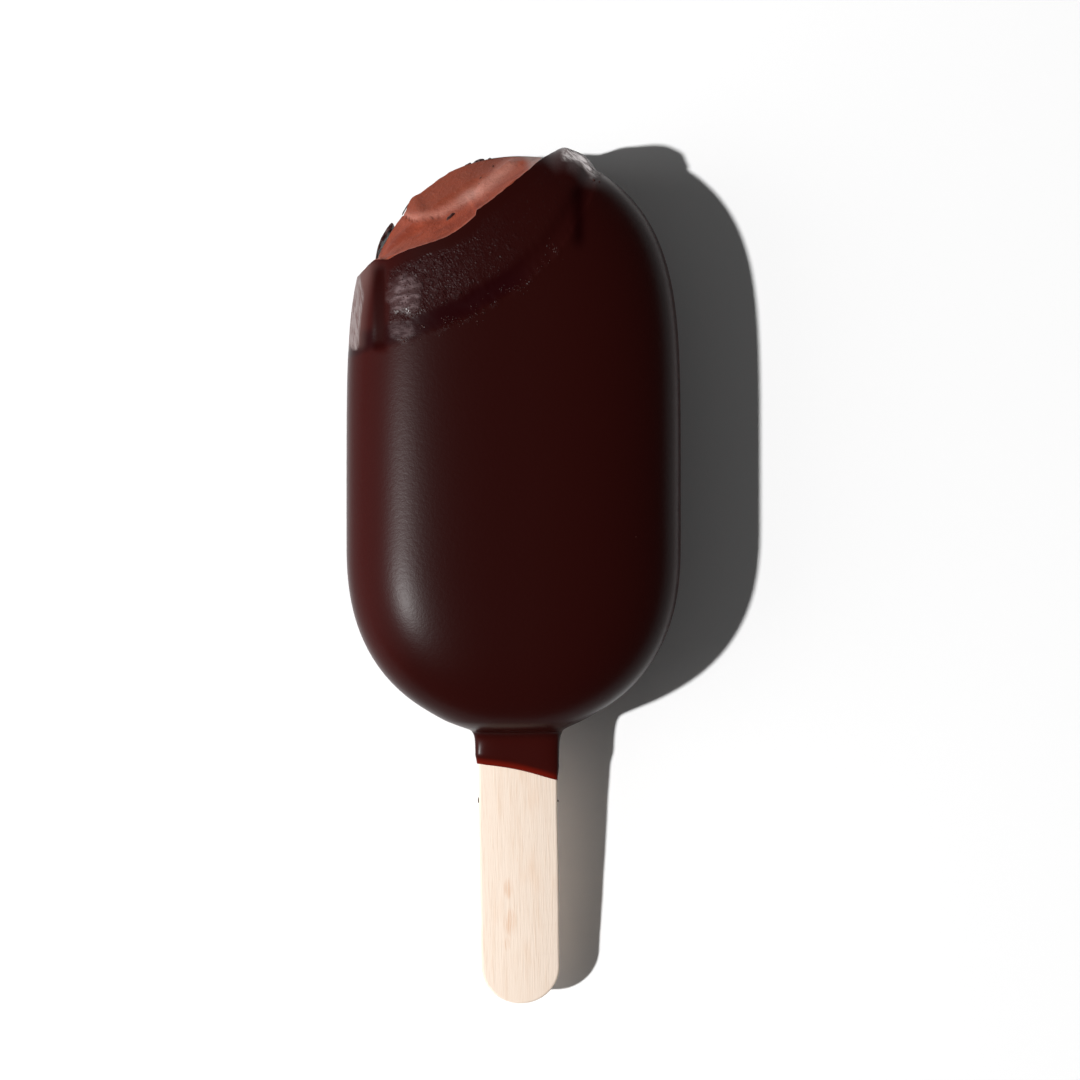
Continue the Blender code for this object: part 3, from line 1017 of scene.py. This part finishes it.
def chocolate_finish():
    dark = Finish(
        "dark chocolate",
        {"Specular IOR Level": 0.055, "Coat Roughness": 0.22},
    )
    across = dark.axis("X") / BAR_HALF_WIDTH
    left = across.rise(0.1, -0.1)
    # Painted light: the flanks are painted lighter and redder, the near one, which faces the lamp, much more
    # than the far one.
    flank = across.rise(-0.50, -0.92) * 0.95 + across.rise(0.86, 1.0) * 0.25
    clouds = dark.grain((0.006, 0.012, 0.006), 0.0, 2.0, 0.5)
    peel = dark.grain(0.00058, 0.0, 2.0, 0.55)
    dust = dark.grain(0.00024, 0.0, 2.0, 0.6)
    scales = dark.pebbles((0.00042, 0.00058, 0.0005), BITE_TURN)
    grit = dark.pebbles(0.00028)
    patches = dark.grain(0.0014, 0.0, 2.0, 0.5).rise(0.38, 0.62)
    wrinkles = dark.grain((0.0017, 0.00062, 0.0010), math.radians(8), 4.0, 0.6).rise(0.36, 0.68)
    near_streaks = dark.grain((0.00020, 0.0022, 0.0016), math.radians(7), 4.0, 0.65)
    far_streaks = dark.grain((0.0013, 0.00026, 0.0006), math.radians(-40), 4.0, 0.7)
    rough, limit = dark.mask("rough"), dark.mask("limit")
    bloom_and_reflection, haze_and_sheen = dark.mask("bloom_and_reflection"), dark.mask("haze_and_sheen")
    groove, thin = dark.mask("groove"), dark.mask("thin")
    near_fold_shade, far_fold_shade, lumps = dark.mask("near_fold_shade"), dark.mask("far_fold_shade"), dark.mask("lumps")
    streaks = near_streaks * left + far_streaks * (1.0 - left)
    streaked_bloom_and_reflection = bloom_and_reflection * (0.25 + streaks.rise(0.40, 0.56) * 0.75)
    colour = dark.mix(flank * (0.85 + clouds * 0.3), DARK_CHOCOLATE, PAINTED_LIGHT_FLANK_CHOCOLATE)
    colour = dark.mix(groove * 0.85, colour, GROOVE_CHOCOLATE)
    # Painted shade: both folds down the lip are painted darker, the far one most.
    colour = dark.mix(near_fold_shade, colour, NEAR_FOLD_SHADE)
    colour = dark.mix(far_fold_shade, colour, FAR_FOLD_SHADE)
    colour = dark.mix(rough * 0.8, colour, BROKEN_CHOCOLATE)
    # The crumpled lumps are painted pale: partly their own bloomed grey, partly a painted highlight where the
    # lamp's reflection crosses them.
    colour = dark.mix(lumps * (0.20 + wrinkles * 0.80), colour, CRUMPLED_BLOOM_AND_HIGHLIGHT)
    # Painted sheen: a faint pale reflection, partly bloomed, fading out around the white patches.
    colour = dark.mix(haze_and_sheen * (0.8 + dust * 0.4), colour, dark.mix(left, FAR_HAZE_AND_SHEEN, NEAR_HAZE_AND_SHEEN))
    # Painted reflection: the white patches are partly real bloomed chocolate and partly a painted reflection
    # of the bright table.
    colour = dark.mix(streaked_bloom_and_reflection, colour, dark.mix(left, FAR_BLOOM_AND_REFLECTION, NEAR_BLOOM_AND_REFLECTION))
    colour = dark.mix(thin, colour, THIN_CHOCOLATE)
    gloss = 0.285 + rough * 0.05 + (streaked_bloom_and_reflection + lumps) * 0.25 + peel * 0.03
    wet = rough * (0.02 + patches * scales.rise(0.10, 0.45) * 0.70) + limit * 0.06 + lumps * grit * 0.2
    wet = wet + thin.rise(0.0, 0.11) * (1.0 - thin.rise(0.15, 0.3)) * 0.12
    relief = peel * 0.036 + dust * 0.022 + bloom_and_reflection * streaks * 0.7
    relief = relief + rough * (scales * 0.45 + grit * 0.25) + limit * grit * 0.30
    relief = relief + lumps * (grit * 0.4 + wrinkles * 0.5)
    normal = dark.bumps(relief, 0.00030)
    return dark.paint(Base_Color=colour, Roughness=gloss, Coat_Weight=wet, Normal=normal)


shell = ringed_form(shell_stations(), shell_angles(), shell_point)
shell.normal_update()
pushed = [vertex.co + vertex.normal * relief(vertex.co) for vertex in shell.verts]
for vertex, place in zip(shell.verts, pushed):
    vertex.co = place
coat = make_piece("chocolate_coat", shell, chocolate_finish())
hollow = make_piece("hollow", plain_bar(COATING))
bite = make_piece("bite", bitten_wall(broken_edge))
carve(coat, [hollow, stick_slot(0.00002), bite], 50.0)
paint_masks(coat, {
    "rough": lambda point: rough_share(point) * (1.0 - lump_share(point)),
    "lumps": lump_share,
    "limit": limit_crumbs,
    "groove": groove_mask,
    "near_fold_shade": near_valley,
    "far_fold_shade": far_valley,
    "bloom_and_reflection": bloom_and_reflection_mask,
    "haze_and_sheen": haze_and_sheen_mask,
    "thin": thin_mask,
})
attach(coat, "root")
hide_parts("coating")


# ---- The splinters and crumbs ----
# Bits of the same chocolate: splinters of the shell left along the rim of the bite, and crumbs that stuck
# to the bitten face, along the lip's limit, in front of the sleeve and on the stick.

SPLINTER_CUTS = 11
SPLINTERS = (
    # along and out at one end, at the other end, thickness at each, how low it reaches, how far it bows out
    ((-0.0155, 0.0010), (-0.0107, 0.0046), (0.00016, 0.00062), 0.0075, 0.0005),
    ((-0.0087, 0.0049), (-0.0048, 0.0061), (0.00009, 0.00012), 0.0012, 0.0004),
    ((0.0006, 0.0067), (0.0018, 0.0067), (0.00040, 0.00038), 0.0030, 0.0001),
    ((0.0029, 0.0065), (0.0041, 0.0065), (0.00030, 0.00036), 0.0030, 0.0001),
    ((0.0044, 0.0063), (0.0061, 0.0060), (0.00046, 0.00040), 0.0035, 0.0002),
    ((0.0066, 0.0057), (0.0071, 0.0055), (0.00024, 0.00022), 0.0025, 0.0001),
)
SPLINTER_CHOCOLATE = (0.045, 0.0105, 0.0075)
CRUMB_CUTS = 2
LIMIT_CRUMBS = 620
LIMIT_STRETCH = (-0.0148, 0.0102)
CRUMB_CLUSTERS = (
    # middle, spread, number, least and greatest half size
    ((-0.0163, 0.0658), (0.0013, 0.0012), 22, (0.00008, 0.00018)),
    ((-0.0158, 0.0627), (0.0007, 0.0004), 12, (0.00009, 0.00018)),
    ((-0.0164, 0.0586), (0.0004, 0.0003), 12, (0.00007, 0.00015)),
    ((-0.0143, 0.0593), (0.0006, 0.0004), 8, (0.00005, 0.00009)),
    ((0.0062, 0.0012), (0.0009, 0.0003), 9, (0.00006, 0.00013)),
    ((0.0024, 0.0013), (0.0003, 0.0002), 3, (0.00006, 0.00011)),
    ((0.0128, 0.0050), (0.0012, 0.0005), 6, (0.00005, 0.00009)),
)
SINGLE_CRUMBS = (
    # x, y, half size
    (-0.01356, 0.0607, 0.0002),
    (0.0120, 0.0826, 0.00026),
    (0.0128, 0.0823, 0.00018),
    (0.0183, 0.0292, 0.0001),
)
FLAKES = (
    # along the bite, out, half size each way
    (-0.00256, 0.0008, (0.00085, 0.00040, 0.00020)),
    (0.0042, 0.0037, (0.00018, 0.00010, 0.00008)),
    (0.0035, 0.0030, (0.00020, 0.00011, 0.00008)),
    (0.0037, 0.0026, (0.00013, 0.00010, 0.00008)),
    (0.0067, 0.0043, (0.00015, 0.00010, 0.00008)),
)
FLAKE_TURN = math.radians(45)
STICK_CRUMBS = (
    # x, y, half size each way
    (0.00652, -0.0105, (0.00024, 0.00018, 0.00022)),
    (-0.00532, -0.0104, (0.00010, 0.00042, 0.00016)),
)
chance = random.Random(11)


def block(shape):
    """Adds a unit block whose sides are cut into small squares, and returns its points."""
    earlier = len(shape.verts)
    made = bmesh.ops.create_cube(shape, size=1.0)
    lines = list({line for vertex in made["verts"] for line in vertex.link_edges})
    bmesh.ops.subdivide_edges(shape, edges=lines, cuts=SPLINTER_CUTS, use_grid_fill=True)
    return shape.verts[:][earlier:]


def add_splinter(shape, first, second, thickness, depth, bow):
    """A broken strip of shell that stands on the rim, with a ragged top and a toothed inner side."""
    start, end = from_bite(*first, 0.0), from_bite(*second, 0.0)
    line = end - start
    outwards = Vector((-line.y, line.x, 0.0)).normalized()
    for vertex in block(shape):
        share, inner, up = (part + 0.5 for part in vertex.co)
        arch = 4.0 * share * (1.0 - share)
        teeth = noise.noise(Vector((share * line.length * 2600.0, up * 3.0, depth * 900.0)))
        thick = (thickness[0] + (thickness[1] - thickness[0]) * share) * (0.35 + 0.65 * arch**0.25)
        side = bow * arch - inner * thick * (1.0 + 0.6 * teeth)
        ragged = 0.0006 * abs(noise.noise(Vector((share * line.length * 1400.0, 0.0, depth * 500.0))))
        vertex.co = start + line * share + outwards * side
        vertex.co.z = -0.0004 - depth * (1.0 - up) - ragged * up


def add_crumb(shape, place, size, spin=None):
    """An angular grain of that half size along x, y and z, half sunk, and turned by chance or by spin."""
    made = bmesh.ops.create_icosphere(shape, subdivisions=CRUMB_CUTS, radius=1.0)
    for vertex in made["verts"]:
        vertex.co *= 1.0 + 0.45 * noise.noise(vertex.co * 1.4 + place * 9000.0)
    spin = chance.uniform(0.0, 2.0 * math.pi) if spin is None else spin
    turn = Matrix.Rotation(chance.uniform(-0.4, 0.4), 4, "X") @ Matrix.Rotation(spin, 4, "Z")
    matrix = Matrix.Translation(place) @ turn @ Matrix.Diagonal((*size, 1.0))
    bmesh.ops.transform(shape, verts=made["verts"], matrix=matrix)


def on_coat(x, y):
    """The point of the coat's upper surface that is seen at a place."""
    place = Vector((x, y, 0.0))
    for _ in range(4):
        place = drawn_in(x, y, top_height(place.x, place.y))
    place.z += relief(place)
    return place


def on_face(along, out):
    """The point of the bitten face that is seen that far out, found by halving."""
    low, high = 0.0, BAR_HALF_THICKNESS
    for _ in range(30):
        middle = (low + high) / 2
        if bite_depth(along, middle) > out:
            low = middle
        else:
            high = middle
    return from_bite(along, out, low)


def splinter_finish():
    broken = Finish(
        "broken chocolate",
        {"Specular IOR Level": 0.2, "Coat Weight": 0.12, "Coat Roughness": 0.22},
    )
    grit = broken.grain(0.00030, 0.0, 3.0, 0.6)
    colour = broken.mix(grit.rise(0.35, 0.65), DARK_CHOCOLATE, SPLINTER_CHOCOLATE)
    return broken.paint(Base_Color=colour, Roughness=0.30 + grit * 0.2, Normal=broken.bumps(grit, 0.00012))


bits = bmesh.new()
for splinter in SPLINTERS:
    add_splinter(bits, *splinter)

# Along the lip's limit, in clusters
for _ in range(LIMIT_CRUMBS):
    along = chance.uniform(*LIMIT_STRETCH)
    out = lip_limit(along) + chance.gauss(0.0004, 0.0008)
    half = chance.uniform(0.00005, 0.00014)
    crowd = noise.noise(Vector((along * 420.0, out * 420.0, 3.0)))
    if crowd > chance.uniform(-0.10, 0.50):
        place = from_bite(along, out, 0.0)
        add_crumb(bits, on_coat(place.x, place.y), (half, half * 0.8, half * 0.8))

# On the swollen patch, in the rows of grains below it and in front of the sleeve
for middle, spread, count, sizes in CRUMB_CLUSTERS:
    for _ in range(count):
        x = middle[0] + chance.gauss(0.0, spread[0])
        y = middle[1] + chance.gauss(0.0, spread[1])
        half = chance.uniform(*sizes)
        add_crumb(bits, on_coat(x, y), (half, half * 0.8, half * 0.6))

for x, y, half in SINGLE_CRUMBS:
    add_crumb(bits, on_coat(x, y), (half, half * 0.8, half * 0.6))
for along, out, size in FLAKES:
    add_crumb(bits, on_face(along, out), size, FLAKE_TURN)
for x, y, size in STICK_CRUMBS:
    add_crumb(bits, Vector((x, y, stick_height(y) + STICK_THICKNESS / 4)), size, 0.0)

crumbs = make_piece("chocolate_splinters", bits, splinter_finish(), 30.0)
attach(crumbs, "root")


# ---- The table, the light and the camera ----
# A plain white table top, one small bright lamp low on the left, and a dim grey room.
# The camera looks straight down on the bar.

TABLE_SIZE = 6.0
TABLE_WHITE = (0.9, 0.9, 0.9, 1.0)
LAMP_DIRECTION = Vector((-0.608, -0.118, 0.785))
GLOW_DIRECTION = Vector((-0.90, -0.13, 0.42))
LAMP_AWAY = 3.0
LAMP_SIZE = 0.10
LAMP_POWER = 12.6
GLOW_AWAY = 1.2
GLOW_SIZE = 1.0
GLOW_POWER = 1.9
ROOM_HORIZON = 0.13
ROOM_ZENITH = 0.065
VIEW_WIDTH = 0.16146

table_shape = bmesh.new()
bmesh.ops.create_grid(table_shape, x_segments=1, y_segments=1, size=TABLE_SIZE / 2)
table_mesh = bpy.data.meshes.new("table")
table_shape.to_mesh(table_mesh)
table_shape.free()
table = bpy.data.objects.new("table", table_mesh)
bpy.context.scene.collection.objects.link(table)
white = Finish("white table", {"Base Color": TABLE_WHITE, "Roughness": 0.9, "Specular IOR Level": 0.1})
table_mesh.materials.append(white.material)

for name, size, heading, away, power in (
    ("lamp", LAMP_SIZE, LAMP_DIRECTION, LAMP_AWAY, LAMP_POWER),
    ("glow", GLOW_SIZE, GLOW_DIRECTION, GLOW_AWAY, GLOW_POWER),
):
    light = bpy.data.lights.new(name, "AREA")
    light.shape = "DISK"
    light.size = size
    light.energy = power * away**2
    lamp = bpy.data.objects.new(name, light)
    bpy.context.scene.collection.objects.link(lamp)
    lamp.location = BAR_PLACE + VIEW_MIDDLE + heading.normalized() * away
    lamp.rotation_euler = heading.to_track_quat("Z", "Y").to_euler()

room = bpy.data.worlds.new("room")
bpy.context.scene.world = room
room.use_nodes = True
room_tree = room.node_tree
sky = room_tree.nodes["Background"]
heading = room_tree.nodes.new("ShaderNodeTexCoord")
parts = room_tree.nodes.new("ShaderNodeSeparateXYZ")
fall = room_tree.nodes.new("ShaderNodeMapRange")
fall.inputs["To Min"].default_value = ROOM_HORIZON
fall.inputs["To Max"].default_value = ROOM_ZENITH
room_tree.links.new(heading.outputs["Generated"], parts.inputs[0])
room_tree.links.new(parts.outputs["Z"], fall.inputs["Value"])
room_tree.links.new(fall.outputs["Result"], sky.inputs["Strength"])
sky.inputs["Color"].default_value = (1.0, 1.0, 1.0, 1.0)

camera_lens = bpy.data.cameras.new("camera")
camera = bpy.data.objects.new("camera", camera_lens)
bpy.context.scene.collection.objects.link(camera)
bpy.context.scene.camera = camera
camera_lens.sensor_fit = "HORIZONTAL"
camera_lens.lens = camera_lens.sensor_width * (CAMERA_HEIGHT - BAR_HALF_THICKNESS) / VIEW_WIDTH
camera_lens.clip_start = 0.01
camera_lens.clip_end = 20.0
camera.location = BAR_PLACE + VIEW_MIDDLE + Vector((0.0, 0.0, EYE_HEIGHT))

view = bpy.context.scene.view_settings
view.view_transform = "Standard"
view.look = "None"
view.exposure = 0.0
view.gamma = 1.0
